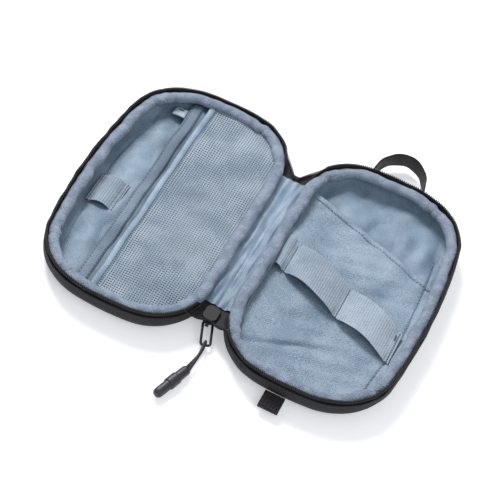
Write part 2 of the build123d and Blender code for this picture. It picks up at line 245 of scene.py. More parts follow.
def wall_seam(v):
    """Plan distance of the floor seam that runs beside the outer wall, bowed as the outer side is."""
    return SIDE - 13.0 - BOW * (v / (END - BOW)) ** 2


def crease(distance, width):
    """A narrow fold line: 1 on the line, falling off as a bell over `width`."""
    return np.exp(-(distance / width) ** 2)


# ---------------------------------------------------------------- meshes

def mesh_piece(name, points, faces, finish, body, node=(), slot=None, lengths=None, facing="out",
               weld=False):
    """Makes a mesh object from millimetre points and faces, with a cloth map in millimetres.

    `facing` turns all faces: "out" from the middle, "up", or along a given direction.
    """
    mesh = bpy.data.meshes.new(name)
    points = np.asarray(points, float)
    first, second, third, last = (points[faces[:, k]] for k in (0, 1, 2, -1))
    normals = np.cross(third - first, last - second)
    if facing == "out":
        toward = points[faces].mean(axis=1) - points.mean(axis=0)
    else:
        toward = np.broadcast_to((0, 0, 1) if facing == "up" else facing, normals.shape)
    order = slice(None, None, -1) if np.sum(normals * toward) < 0 else slice(None)
    faces = faces[:, order]
    mesh.from_pydata(points * MM, [], faces.tolist())
    if lengths is not None:
        cloth_map = mesh.uv_layers.new(name="cloth")
        cloth_map.data.foreach_set("uv", np.ascontiguousarray(lengths[:, order], dtype=np.float32).ravel())
    mesh.polygons.foreach_set("use_smooth", np.ones(len(faces), bool))
    mesh.update()
    if weld:
        shape = bmesh.new()
        shape.from_mesh(mesh)
        bmesh.ops.remove_doubles(shape, verts=shape.verts, dist=2e-6)
        shape.to_mesh(mesh)
        shape.free()
    mesh.materials.append(finish)
    piece = bpy.data.objects.new(name, mesh)
    bpy.context.scene.collection.objects.link(piece)
    if node:
        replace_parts(piece, *node)
    if body:
        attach(piece, body)
    return piece


def surface(name, grid, finish, body, closed=(False, False), plan=False, thickness=0.0, **facts):
    """Makes a mesh from a grid of points: rows by columns, either closed on itself.

    The cloth map holds the lengths along rows and columns, or the plan itself.
    """
    rows, columns = grid.shape[:2]
    down, right = np.meshgrid(
        np.arange(rows - (not closed[0])), np.arange(columns - (not closed[1])), indexing="ij"
    )
    corners = [(down, right), (down, right + 1), (down + 1, right + 1), (down + 1, right)]
    faces = np.stack([(i % rows) * columns + j % columns for i, j in corners], axis=-1).reshape(-1, 4)
    if plan:
        flat = grid.reshape(-1, 3)[:, :2]
        lengths = flat[faces]
    else:
        along = np.linalg.norm(np.roll(grid, -1, axis=1) - grid, axis=2).mean(axis=0)
        across = np.linalg.norm(np.roll(grid, -1, axis=0) - grid, axis=2).mean(axis=1)
        along, across = (np.concatenate([[0.0], np.cumsum(steps)]) for steps in (along, across))
        lengths = np.stack([np.stack([along[j], across[i]], axis=-1) for i, j in corners], axis=2)
        lengths = lengths.reshape(-1, 4, 2)
    piece = mesh_piece(name, grid.reshape(-1, 3), faces, finish, body, lengths=lengths, **facts)
    if thickness:
        wall = piece.modifiers.new("thickness", "SOLIDIFY")
        wall.thickness = thickness * MM
        wall.offset = -1
    return piece


def directions(path, closed=False):
    """Ahead, aside and up along a path: aside is level and square to it, up is square to both."""
    if closed:
        ahead = np.roll(path, -1, axis=0) - np.roll(path, 1, axis=0)
    else:
        ahead = np.gradient(path, axis=0)
    ahead = unit(ahead)
    aside = unit(np.cross(ahead, (0, 0, 1)))
    return ahead, aside, np.cross(aside, ahead)


def swept(path, section, closed=True):
    """Grid of a section carried along a path. A section point is (aside, up), and may vary on the way."""
    _, aside, up = directions(path, closed)
    section = np.broadcast_to(section, (len(path),) + section.shape[-2:])
    return path[:, None] + aside[:, None] * section[..., :1] + up[:, None] * section[..., 1:]


def ring_section(radius, count=10):
    """Round section with that many points."""
    turn = full_turn(count)
    return radius * np.stack([np.cos(turn), np.sin(turn)], axis=1)


def capped(grid, shrink=1e-3):
    """Closes the ends of a swept grid: each end row is repeated, pulled in to its own middle."""
    first, last = grid[:1], grid[-1:]
    close = [row.mean(axis=1, keepdims=True) + (row - row.mean(axis=1, keepdims=True)) * shrink
             for row in (first, last)]
    return np.concatenate([close[0], grid, close[1]])


def pills(name, centres, along, across, up, finish, body, **facts):
    """Many copies of a small pill, each stretched by its own three half axes.

    A pill is a cube with each side cut in four, its points moved on to a ball with squared shoulders.
    """
    steps = (-1, 0, 1)
    cube = np.array([(x, y, z) for x in steps for y in steps for z in steps], float)
    faces = []
    for axis in range(3):
        weight = np.roll([9, 3, 1], -axis)
        for side in (-1, 1):
            for i, j in ((-1, -1), (-1, 0), (0, -1), (0, 0)):
                around_face = [(i, j), (i + 1, j), (i + 1, j + 1), (i, j + 1)][::side]
                faces.append([13 + weight[0] * side + weight[1] * p + weight[2] * q for p, q in around_face])
    used, faces = np.unique(faces, return_inverse=True)
    faces = faces.reshape(-1, 4)
    ball = cube[used] / (np.sum(np.abs(cube[used]) ** 3, axis=1, keepdims=True) ** (1 / 3))
    axes = np.stack([along, across, up], axis=1)
    points = centres[:, None] + ball @ axes
    faces = faces + np.arange(len(centres))[:, None, None] * len(ball)
    piece = mesh_piece(name, points.reshape(-1, 3), faces.reshape(-1, 4), finish, body, **facts)
    recalculate(piece)
    return piece


def resampled(path, pitch):
    """Points at even distances along a path of straight steps."""
    steps = travelled(path)
    at = np.linspace(0, steps[-1], max(3, int(steps[-1] / pitch) + 1))
    return np.stack([np.interp(at, steps, path[:, k]) for k in range(3)], axis=1)


def stitches(name, path, finish, body, pitch=2.8, length=1.9, width=0.34, **facts):
    """Thread stitches along a path: a short flat pill for each stitch, lying along the path."""
    centres = resampled(path, pitch)
    ahead, aside, up = directions(centres)
    return pills(name, centres, ahead * length / 2, aside * width / 2, up * width / 2, finish, body, **facts)


def spline(points, count):
    """Smooth path through a few points: Catmull-Rom, each span a cubic from its four nearest points."""
    points = np.array(points, float)
    ends = np.vstack([2 * points[0] - points[1], points, 2 * points[-1] - points[-2]])
    at = np.linspace(0, len(points) - 1 - 1e-9, count)
    span, t = at.astype(int), (at % 1)[:, None]
    a, b, c, d = (ends[span + k] for k in range(4))
    return 0.5 * (2 * b + (c - a) * t + (2 * a - 5 * b + 4 * c - d) * t**2 + (3 * b - a - 3 * c + d) * t**3)


# ---------------------------------------------------------------- materials

RELIEF_DRAWN = 10  # fine relief is drawn this many times deeper, or it would not show
SPECKLE_SIZE = 0.8  # millimetres between the fine specks of a cloth


def linear(code):
    """Linear colour of an sRGB hex value."""
    channels = [int(code[k:k + 2], 16) / 255 for k in (1, 3, 5)]
    return [c / 12.92 if c <= 0.04045 else ((c + 0.055) / 1.055) ** 2.4 for c in channels] + [1.0]


def add_node(tree, kind, settings=None, inputs=None):
    """Adds a shader node with its settings, and sets or links its inputs."""
    made = tree.nodes.new("ShaderNode" + kind)
    for name, value in (settings or {}).items():
        setattr(made, name, value)
    for name, value in (inputs or {}).items():
        if isinstance(value, bpy.types.NodeSocket):
            tree.links.new(value, made.inputs[name])
        else:
            made.inputs[name].default_value = value
    return made


def new_material(name):
    """A material with only its shader: gives the material, its tree and the shader."""
    finish = bpy.data.materials.new(name)
    finish.use_nodes = True
    return finish, finish.node_tree, finish.node_tree.nodes["Principled BSDF"]


def thread_wave(tree, length, spacing):
    """A sine along one length of the cloth map, one period for two threads."""
    scaled = add_node(tree, "Math", {"operation": "MULTIPLY"}, {0: length, 1: math.pi / spacing})
    return add_node(tree, "Math", {"operation": "SINE"}, {0: scaled.outputs[0]}).outputs[0]


def woven(name, dark, light, spacing, roughness, sheen=0.0, ribs=None, patch=25.0, speckle=0.3,
          depth=0.12, sheen_tint="#ffffff", specular=0.4):
    """A cloth: plain weave or ribs for relief, and slow and fine colour changes between two shades.

    Lengths are millimetres on the cloth map: thread spacing, size of the slow patches, relief depth.
    """
    finish, tree, shader = new_material(name)
    cloth = add_node(tree, "UVMap", {"uv_map": "cloth"})
    place_on = add_node(tree, "SeparateXYZ", inputs={0: cloth.outputs[0]})
    warp = thread_wave(tree, place_on.outputs[0], spacing)
    weft = thread_wave(tree, place_on.outputs[1], spacing)
    if ribs == "along":
        relief = weft
    elif ribs == "across":
        relief = warp
    else:
        relief = add_node(tree, "Math", {"operation": "MULTIPLY"}, {0: warp, 1: weft}).outputs[0]
    where = add_node(tree, "TexCoord")
    slow = add_node(tree, "TexNoise", inputs={"Vector": where.outputs["Object"], "Scale": 1 / (patch * MM),
                                              "Detail": 3.0, "Roughness": 0.55})
    fine = add_node(tree, "TexNoise", inputs={"Vector": where.outputs["Object"],
                                              "Scale": 1 / (SPECKLE_SIZE * MM), "Detail": 1.0})
    blend = add_node(tree, "Math", {"operation": "MULTIPLY_ADD"}, {0: fine.outputs[0], 1: speckle,
                                                                  2: slow.outputs[0]})
    threads = add_node(tree, "Math", {"operation": "MULTIPLY_ADD"}, {0: relief, 1: 0.10, 2: blend.outputs[0]})
    spread = add_node(tree, "MapRange", {"interpolation_type": "SMOOTHSTEP"}, {
        "Value": threads.outputs[0], "From Min": 0.3 + speckle / 2, "From Max": 0.7 + speckle / 2})
    colour = add_node(tree, "Mix", {"data_type": "RGBA"}, {
        0: spread.outputs[0], 6: linear(dark), 7: linear(light)})
    bump = add_node(tree, "Bump", inputs={"Height": threads.outputs[0], "Distance": depth * MM * RELIEF_DRAWN,
                                          "Strength": 0.5})
    tree.links.new(colour.outputs[2], shader.inputs["Base Color"])
    tree.links.new(bump.outputs[0], shader.inputs["Normal"])
    shader.inputs["Roughness"].default_value = roughness
    shader.inputs["Sheen Weight"].default_value = sheen
    shader.inputs["Sheen Roughness"].default_value = 0.4
    shader.inputs["Sheen Tint"].default_value = linear(sheen_tint)
    shader.inputs["Specular IOR Level"].default_value = specular
    return finish


def hard(name, dark, light, roughness, grain, metallic=0.0, coat=0.0, depth=0.02):
    """A moulded or painted finish: two close shades and a fine uneven surface of `grain` millimetres."""
    finish, tree, shader = new_material(name)
    where = add_node(tree, "TexCoord")
    noise = add_node(tree, "TexNoise", inputs={"Vector": where.outputs["Object"], "Scale": 1 / (grain * MM),
                                               "Detail": 3.0})
    colour = add_node(tree, "Mix", {"data_type": "RGBA"}, {
        0: noise.outputs[0], 6: linear(dark), 7: linear(light)})
    rough = add_node(tree, "MapRange", inputs={"Value": noise.outputs[0], "To Min": roughness - 0.06,
                                               "To Max": roughness + 0.08})
    bump = add_node(tree, "Bump", inputs={"Height": noise.outputs[0], "Distance": depth * MM * RELIEF_DRAWN,
                                          "Strength": 0.4})
    tree.links.new(colour.outputs[2], shader.inputs["Base Color"])
    tree.links.new(rough.outputs[0], shader.inputs["Roughness"])
    tree.links.new(bump.outputs[0], shader.inputs["Normal"])
    shader.inputs["Metallic"].default_value = metallic
    shader.inputs["Coat Weight"].default_value = coat
    return finish


# Satin-backed polyamide taffeta: smooth, a little sheen where the folds turn to the light
LINING = woven("Nylon taffeta lining", "#62778b", "#8498aa", 0.9, 0.5, sheen=0.2, patch=22, speckle=0.35)
# The slip pocket's cloth is the same taffeta; its strong fine speckle is random tone and also painted glints,
# standing in for the speckled sheen of its coating
POCKET = woven("Nylon taffeta with painted glints", "#697e91", "#8fa1b2", 0.9, 0.42, sheen=0.25, patch=30, speckle=0.9)
# Painted shade: the taffeta behind the mesh is a darker copy of the lining, standing in for the shade the mesh
# casts on it
SHADE_PAINTED_TAFFETA = woven("Taffeta with painted shade behind the mesh", "#495c6f", "#6d8093", 0.9, 0.55, sheen=0.15, patch=22,
               speckle=0.35)
SATIN = woven("Nylon satin spine lining", "#62788c", "#889bae", 0.8, 0.4, sheen=0.25, patch=18, speckle=0.2)
# Brushed polyester knit: matte, lilac where its nap catches light
BINDING = woven("Brushed polyester binding", "#748193", "#929dae", 0.9, 0.85, sheen=0.2, patch=7, depth=0.3,
                speckle=0.6, sheen_tint="#c4cad8")
# Black polyester plain weave with a coated back: nearly matte
OUTER = woven("Black woven polyester", "#17161a", "#252429", 1.0, 0.72, patch=40, speckle=0.5, depth=0.2)
TAPE = woven("Black herringbone zip tape", "#151417", "#26252b", 0.8, 0.75, patch=20, ribs="across")
# Polypropylene webbing in a coarse twill
WEBBING = woven("Black polypropylene webbing", "#161316", "#2c292d", 1.1, 0.6, patch=12, speckle=0.6, depth=0.3)
# Woven rubber-cored elastic: pale ribs, matte
ELASTIC = woven("Woven ribbed elastic", "#82909f", "#a6b3c0", 0.9, 0.7, sheen=0.15, ribs="across", patch=30,
                speckle=0.5, depth=0.15)
GROSGRAIN = woven("Grosgrain ribbon", "#56677a", "#748596", 0.8, 0.62, sheen=0.15, ribs="across", depth=0.15)
MESH = woven("Knitted polyester mesh", "#8394a4", "#a4b2bf", 1.0, 0.6, sheen=0.15, patch=20, speckle=0.5)
LABEL = woven("Folded satin label", "#8e9dac", "#a9b6c2", 0.7, 0.5, patch=8)
PALE_THREAD = woven("Grey-blue polyester thread", "#7f91a3", "#a2b1bf", 0.4, 0.5, patch=5)
DARK_THREAD = woven("Dark polyester thread", "#33404d", "#4d5b69", 0.4, 0.5, patch=5)
# Nylon coil and acetal: smooth moulded black with small bright lines
COIL = hard("Moulded nylon zip coil", "#0c0b0e", "#151418", 0.42, 0.6)
# Zinc under satin black enamel, and the same in gloss on the puller
SLIDER_PAINT = hard("Satin black enamel on zinc", "#131216", "#1b1a1e", 0.58, 1.5, metallic=0.2)
PULLER_PAINT = hard("Gloss black enamel on zinc", "#101013", "#1b1a1f", 0.2, 1.5, metallic=0.2, coat=0.6)
CORD_BRAID = hard("Braided polyester cord", "#141215", "#29262b", 0.6, 0.5, depth=0.08)
RUBBER = hard("Moulded PVC rubber", "#232129", "#37343e", 0.45, 1.2)
FOAM = hard("Grey EVA foam", "#73777d", "#8a8e94", 0.9, 0.7, depth=0.1)
FLOOR = hard("Matte white studio card", "#f2f3f5", "#f8f8fa", 0.9, 40.0, depth=0.0)
# The card is a back-lit sheet, so it glows a little of itself
CARD = FLOOR.node_tree.nodes["Principled BSDF"]
CARD.inputs["Emission Color"].default_value = linear("#fbfcff")
CARD.inputs["Emission Strength"].default_value = 0.38


# ---------------------------------------------------------------- camera and cord

def set_camera():
    """Camera that looks along the spine from above its lower end, a little rolled."""
    azimuth, elevation, roll = (math.radians(angle) for angle in (11.3, 48.7, 16.7))
    distance = 1180.0
    back = Vector((math.sin(azimuth) * math.cos(elevation), -math.cos(azimuth) * math.cos(elevation),
                   math.sin(elevation)))
    level = Vector((math.cos(azimuth), math.sin(azimuth), 0))
    rise = back.cross(level)
    right = level * math.cos(roll) + rise * math.sin(roll)
    up = rise * math.cos(roll) - level * math.sin(roll)
    target = Vector((SPINE_X, 0, 0)) * MM
    lens = bpy.data.cameras.new("camera")
    lens.lens = 134.6
    lens.shift_x, lens.shift_y = -0.0064, 0.0082
    camera = bpy.data.objects.new("camera", lens)
    bpy.context.scene.collection.objects.link(camera)
    turned = Matrix((right, up, back)).transposed().to_4x4()
    camera.matrix_world = Matrix.Translation(target + back * distance * MM) @ turned
    bpy.context.scene.camera = camera


CORD_DIAMETER = 2.0
GRIP_MOUTH = Vector((-60.85, -106.8, 3.9))
GRIP_YAW = math.radians(-17)
CORD_ROUTE = [
    (-59.85, -107.1, 3.9),
    (-59.25, -98.9, 4.6),
    (-58.95, -91.0, 5.5),
    (-59.95, -82.57, 5.8),
    (-59.95, -82.57, 1.1),
    (-59.5, -91.0, 1.15),
    (-61.0, -98.9, 1.4),
    (-61.85, -106.5, 3.9),
]


def pull_cord():
    """The cord, doubled through the puller's ring, with both ends in the grip."""
    line = bpy.data.curves.new("pull_cord_line", "CURVE")
    line.dimensions = "3D"
    route = line.splines.new("NURBS")
    route.points.add(len(CORD_ROUTE) - 1)
    for point, at in zip(route.points, CORD_ROUTE):
        point.co = (*(Vector(at) * MM), 1.0)
    route.order_u = 3
    route.use_endpoint_u = True
    route.resolution_u = 10
    line.bevel_depth = CORD_DIAMETER / 2 * MM
    line.bevel_resolution = 4
    line.materials.append(CORD_BRAID)
    cord = bpy.data.objects.new("pull_cord_line", line)
    bpy.context.scene.collection.objects.link(cord)
    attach(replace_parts(cord, "pull_cord"), "pull")


set_camera()
pull_cord()


# ---------------------------------------------------------------- outer shells

def wall_top(s):
    """Height of the outer cloth: full behind the zip, and low beside the spine, where the spine covers it."""
    return WALL_TOP + (SPINE_LINING_Z - 0.6 - WALL_TOP) * spine_side(s, 65, 5)


def base_round(turn, inset=0.0):
    """Inset and height on the round between floor and wall, at that turn from the floor."""
    radius = BASE_ROUND - inset
    return BASE_ROUND - radius * np.sin(turn), BASE_ROUND - radius * np.cos(turn)


def core_line(u, v):
    """Points on a panel's core line, moved to even steps so that the panel's two sides meet and weld."""
    step = 2.0
    return np.stack([np.full(len(v), u), np.round(v / step) * step], axis=1)


def floor_rings(shell, s, rings, inset, height):
    """Plan rings from the shell's core line out to one inset: each ring is a share of the way.

    The core is a segment on u = 0, so that the rings don't crowd at one point.
    """
    edge = rim(s, inset)
    core = core_line(0.0, np.clip(edge[:, 1] * 0.7, -38, 38))
    share = (np.linspace(0, 1, rings) ** 0.85)[:, None, None]
    plan = core + (edge - core) * share
    return place(shell, plan, height)


# Inset and lift of the wall's upper edge, which turns in and down behind the tape
TURNED_EDGE = ((0.45, 0.3), (0.95, 0.1), (1.0, -2.5))


def outer_shell(shell):
    """Face panel, side wall and the piped seam between them."""
    body = SHELLS[shell][0]
    s = around(300)
    floor = floor_rings(shell, s, 34, BASE_ROUND, 0.25)
    floor[..., 2] += 0.12 * waves(floor[..., 0], floor[..., 1], 45, 3)
    rounds = [base_round(turn) for turn in np.linspace(0.12, SEAM_TURN, 6)]
    sides = [place(shell, rim(s, inset), max(height, 0.1)) for inset, height in rounds]
    surface(f"{shell}_face_panel", np.concatenate([floor, sides]), OUTER, body, closed=(False, True),
            plan=True, thickness=0.8, node=[f"{shell}_outer_shell"], slot="outer_cloth", facing=(0, 0, -1),
            weld=True)
    turns = np.linspace(SEAM_TURN, math.pi / 2, 9)
    top = wall_top(s)
    rows = []
    for turn in turns:
        inset, height = base_round(turn)
        puff = 0.35 * np.sin((turn - SEAM_TURN) / (math.pi / 2 - SEAM_TURN) * math.pi)
        low = np.minimum(height, top)
        rows.append(place(shell, rim(s, inset - puff * 0.5 + 0.12 * waves(*rim(s).T, 22, 5)), low))
    foot = np.minimum(BASE_ROUND, top)
    for share in (0.35, 0.7, 1.0):
        height = foot + share * (top - foot)
        rows.append(place(shell, rim(s, 0.05 + 0.1 * waves(*rim(s).T, 18, 6)), height))
    for inset, lift in TURNED_EDGE:
        rows.append(place(shell, rim(s, inset), top + lift))
    surface(f"{shell}_side_wall", np.stack(rows), OUTER, body, closed=(False, True), thickness=0.3,
            node=[f"{shell}_outer_shell"], slot="outer_cloth")
    inset, height = base_round(SEAM_TURN)
    piping = swept(place(shell, rim(s, inset + 0.25), height + 0.2), ring_section(0.75, 8))
    surface(f"{shell}_base_piping", piping, TAPE, body, closed=(True, True), node=[f"{shell}_outer_shell"],
            slot="outer_cloth")


def lining(shell):
    """Lining tray: floor with soft folds, a seam line before the outer wall, and the wall up to the roll."""
    body = SHELLS[shell][0]
    s = around(360)
    floor = floor_rings(shell, s, 60, BASE_ROUND, LINING_INSET)
    turns = np.linspace(0.1, math.pi / 2, 9)
    sides = [place(shell, rim(s, inset), height)
             for inset, height in (base_round(turn, LINING_INSET) for turn in turns)]
    top = place(shell, rim(s, LINING_INSET), BASE_ROUND + 1.2)
    grid = np.concatenate([floor, sides, [top]])
    _, way, centre = SHELLS[shell]
    u, v = (grid[..., 0] - centre) * way, grid[..., 1] * way
    folds = 0.6 * waves(u, v, 40, 11) + 0.35 * waves(u * 1.6, v * 0.7, 24, 12 + way)
    hold = np.clip((grid[..., 2] - LINING_INSET) / 4, 0, 1)
    grid[..., 2] += (1 - hold) * (folds + 0.7)
    grid[..., 2] -= (1 - hold) * 0.9 * crease(u - wall_seam(v) + 0.3 * waves(v, v * 0, 60, 4), 0.8)
    grid[..., 2] = np.maximum(grid[..., 2], LINING_INSET - 0.2)
    surface(f"{shell}_lining_tray", grid, LINING, body, closed=(False, True), plan=True, thickness=0.3,
            node=[f"{shell}_lining"], slot="lining_nylon", facing="up", weld=True)
    v = np.linspace(-58, 58, 90)
    line = np.stack([wall_seam(v) - SEAM_STITCH, v], axis=1)
    stitches(f"{shell}_lining_stitches", place(shell, line, LINING_INSET + 1.2), PALE_THREAD, body, pitch=3.2,
             slot="thread")


def first_beyond(away):
    """Arc length where the outline first passes that distance from the middle of the spine side."""
    past = (RIM_POINTS[:, 1] < -away) & (RIM_POINTS[:, 0] < 0)
    return RIM_LENGTHS[np.argmax(past)]


def tape_lean(s):
    """How far the tape leans in or out of line along the rim, in slow waves."""
    return 0.15 * waves(*rim(s).T, 16, 8)


def zip_on_rim(shell):
    """Tape standing on the rim and the coil of teeth along its top, on all but the spine side."""
    body = SHELLS[shell][0]
    start, tape_start = first_beyond(ZIP_START), first_beyond(TAPE_START)
    s = np.linspace(tape_start, PERIMETER - tape_start, 460)
    rise = np.linspace(0, 1, 5)[:, None] * (1 - 0.85 * spine_side(s, 67, 3))
    foot, tip = 11.5, TEETH_TOP - 0.65
    lean = tape_lean(s)
    rows = [place(shell, rim(s, TAPE_INSET + lean * share), foot + share * (tip - foot)) for share in rise]
    surface(f"{shell}_tape_strip", np.stack(rows), TAPE, body, thickness=0.7, node=[f"{shell}_zip_tape"],
            slot="zip_tape")
    count = int((PERIMETER - 2 * start) / TOOTH_PITCH)
    at = np.linspace(start, PERIMETER - start, count)
    chain = place(shell, rim(at, TAPE_INSET + tape_lean(at)), CHAIN_Z)
    teeth_along(f"{shell}_coil", chain, body, node=[f"{shell}_zip_teeth"])


def teeth_along(name, centres, body, node=()):
    """Coil teeth along a path: pills that lie across it, each leaning a little like a turn of wire."""
    ahead, aside, up = directions(centres)
    lean = aside + 0.25 * ahead
    thick, wide, tall = TOOTH_HALVES
    return pills(name, centres, ahead * thick, lean * wide, up * tall, COIL, body, node=node, slot="zip_coil")


# ---------------------------------------------------------------- binding rolls

LAP = 9.5  # distance of the roll's lapped joint from the middle of the spine


def roll_grid(shell):
    """Points of a padded roll: an oval section that swells, wanders and gathers on its way round.

    Its radius is the oval plus long swells, plus sharp narrow pits that are deepest in the corners.
    """
    s = around(900)[:, None]
    turn = full_turn(30)[None, :]
    seed = 20 if shell == "back" else 50
    corner = cornering(s)
    beside_spine = spine_side(s, 60, 12)
    uneven = np.clip(0.55 + 0.6 * loop_waves(s, 0, 55, seed + 7), 0, 1)
    middle = 5.9 - 1.6 * beside_spine + 0.3 * loop_waves(s, 0, 38, seed) \
        + (0.1 + 0.35 * corner) * uneven * loop_waves(s, 0, 14, seed + 1)
    swell = 1 + 0.05 * loop_waves(s, turn, 30, seed + 2) + 0.02 * loop_waves(s, turn, 12, seed + 3, twist=2)
    gathers = np.clip(1 - 2.6 * np.abs(loop_waves(s, turn, 13, seed + 4, twist=1)), 0, 1) ** 1.5
    pits = np.clip(1 - 4 * np.abs(loop_waves(s, turn, 8, seed + 5, twist=2)), 0, 1)
    size = swell - uneven * ((0.05 + 0.15 * corner) * gathers + (0.01 + 0.06 * corner) * pits)
    if shell == "front":
        size = size * (1 + 0.14 * lap_step(s))
    half_width, half_height = 3.9, 3.0
    aside = half_width * size * np.cos(turn)
    up = half_height * size * np.sin(turn)
    inset = np.maximum(middle - aside, 2.3 - 2.0 * beside_spine)  # flattened where it lies on the zip tape
    plan = rim(s[:, 0])[:, None] - inset[..., None] * rim_normal(s[:, 0])[:, None]
    height = ROLL_Z + up + 0.15 * loop_waves(s, 0, 40, seed + 6)
    return place(shell, plan, np.maximum(height, ROLL_Z - 3))


def lap_step(s):
    """The lapped end of a roll: a sudden step up at the lap, easing off over some millimetres."""
    past = np.mod(s - LAP, PERIMETER)
    return np.clip(past / 0.5, 0, 1) * np.clip(1 - past / 16, 0, 1)


def binding(shell):
    """The roll itself: a closed padded tube."""
    body = SHELLS[shell][0]
    roll = surface(f"{shell}_binding_roll", roll_grid(shell), BINDING, body, closed=(True, True),
                   node=[f"{shell}_binding"], slot="binding_cloth", facing="out")
    recalculate(roll)


def recalculate(piece):
    """Turns the faces of a closed piece outwards."""
    shape = bmesh.new()
    shape.from_mesh(piece.data)
    bmesh.ops.recalc_face_normals(shape, faces=shape.faces)
    shape.to_mesh(piece.data)
    shape.free()


# ---------------------------------------------------------------- pockets

def panel(boundary, rings, core):
    """Grid from a core line out to a closed boundary, each ring a share of the way."""
    share = np.linspace(0, 1, rings)[:, None, None]
    return core + (boundary - core) * share


def cut_outline(inset, side_of_line, count=420):
    """The outline at an inset, cut by a straight line: what lies beyond runs along the line instead.

    `side_of_line` is positive beyond the line. The points that would lie there are spread evenly
    between the two places where the outline crosses it.
    """
    edge = rim(around(count), inset)
    beyond = side_of_line(edge) > 0
    first = np.argmax(beyond & ~np.roll(beyond, 1))
    edge, beyond = np.roll(edge, -first, axis=0), np.roll(beyond, -first)
    number = np.count_nonzero(beyond)
    start, stop = edge[-1], edge[number % count]
    share = ((np.arange(number) + 0.5) / number)[:, None]
    edge[:number] = start + (stop - start) * share
    return edge


MOUTH_SLOPE = -0.344
MOUTH_V = 45.5


def pocket_height(u, v):
    """Height of the slip pocket's cloth: soft folds, one diagonal crease, and a rise to the outer wall."""
    height = POCKET_Z + 0.3 + 0.6 * waves(u, v, 50, 31) + 0.22 * waves(u, v, 24, 32)
    diagonal = (v + 63) - 0.42 * (u + 21.5)
    length = np.clip(1 - np.abs(u + 18.5) / 34, 0, 1)
    height += 1.3 * length * (crease(diagonal - 2.0, 4.0) - crease(diagonal + 1.6, 2.0))
    height += 0.25 * waves(u * 0.6 + v * 0.5, v * 1.4 - u * 0.4, 20, 33)
    height -= 0.9 * crease(u - wall_seam(v) + 0.3 * waves(v, v * 0, 60, 4), 0.8)
    return height + np.clip((u - wall_seam(v) - 1) / 8, 0, 1) * 2.0


def mouth_line(u):
    """Place of the slip pocket's mouth, which slants across the shell in a straight line."""
    return MOUTH_V + MOUTH_SLOPE * u


def slip_pocket():
    """Diagonal pocket of the back shell: its cloth, the folded hem along the mouth, and two seams."""
    edge = cut_outline(POCKET_INSET, lambda plan: plan[:, 1] - mouth_line(plan[:, 0]))
    core = core_line(0.0, np.clip(edge[:, 1] * 0.6 - 15, -54, 10))
    plan = panel(edge, 90, core)
    u, v = plan[..., 0], plan[..., 1]
    grid = place("back", plan, pocket_height(u, v))
    # The strong fine speckle of this taffeta carries painted glints
    cloth = surface("slip_pocket_cloth", grid, POCKET, "back_shell", closed=(False, True), plan=True,
                    node=["slip_pocket"], slot="lining_nylon", facing="up", weld=True)
    u = np.linspace(-51.0, 50.5, 160)
    hem_width, stitched = 4.5, 3.6
    down = np.linspace(0, hem_width, 7)[:, None]
    v = mouth_line(u) - down
    lift = 0.75 * (1 - crease(down - hem_width, 0.6)) - 0.4 * crease(down - stitched, 0.5)
    hem = place("back", np.stack(np.broadcast_arrays(u, v), axis=-1), pocket_height(u, v) + lift)
    hem_strip = surface("slip_pocket_mouth_hem", hem, POCKET, "back_shell", plan=True, thickness=0.5,
                        node=["slip_pocket_hem"], slot="lining_nylon", facing="up")
    v = mouth_line(u) - stitched
    row = place("back", np.stack([u, v], axis=-1), pocket_height(u, v) + 0.6)
    stitches("slip_pocket_stitches", row, PALE_THREAD, "back_shell", pitch=2.6, slot="thread")
    v = np.linspace(-58, 26, 70)
    u = wall_seam(v) - SEAM_STITCH
    seam = place("back", np.stack([u, v], axis=-1), pocket_height(u, v) + 0.15)
    stitches("pocket_seam_stitches", seam, PALE_THREAD, "back_shell", pitch=3.0, slot="thread")


def piping():
    """Thin piped line beside the roll: a wavering cord of folded cloth."""
    low, high = reach("lining_piping", 1)
    middle_x, middle_z = sum(reach("lining_piping", 0)) / 2, sum(reach("lining_piping", 2)) / 2
    v = np.linspace(low, high, 160)
    path = np.stack([middle_x + 0.4 * waves(v, v * 0, 30, 41), v, middle_z - 0.6 + 0.2 * waves(v, v * 0, 22, 42)],
                    axis=1)
    path[:, 2] -= 1.8 * np.clip((np.abs(v - (low + high) / 2) - 50) / 10, 0, 1)
    surface("pocket_piping", capped(swept(path, ring_section(0.7, 8), closed=False)), LINING, "back_shell",
            closed=(False, True), node=["lining_piping"], slot="lining_nylon", facing="out", weld=True)


BAND_FEET = ((-51.0, -49.0), (-41.8, -38.8), (0.3, 3.3), (40.5, 43.5))
BAND_RISES = (2.5, 5.6, 5.6)
BAND_TURN = math.radians(-20.7)
BAND_V = -13.7
BAND_WIDTH = 25.0
BAND_SEAMS = [(start + end) / 2 for start, end in BAND_FEET[1:]]
HEAVY_STITCH = {"pitch": 1.9, "length": 1.5, "width": 0.5}


def arched(feet, rises, low, along):
    """Height of a band along its run: level at its feet, and part of a circle over each span."""
    height = np.full_like(along, low)
    for (_, start), (end, _), rise in zip(feet, feet[1:], rises):
        half = (end - start) / 2
        radius = (half**2 + rise**2) / (2 * rise)
        off = np.clip(along - (start + end) / 2, -half, half)
        inside = (along > start) & (along < end)
        height += np.where(inside, np.sqrt(radius**2 - off**2) - (radius - rise), 0)
    return height


def ribbed(across, ribs, depth):
    """Relief of lengthwise ribs across a band, flattened at both selvedges."""
    return depth * np.abs(np.sin(across * ribs * math.pi))


def row_along_y(x, middle, half, z, count=40):
    """Points of a straight row along Y, as far as `half` on both sides of its middle."""
    y = np.linspace(middle - half, middle + half, count)
    return np.stack([np.full(count, x), y, np.full(count, z)], axis=1)


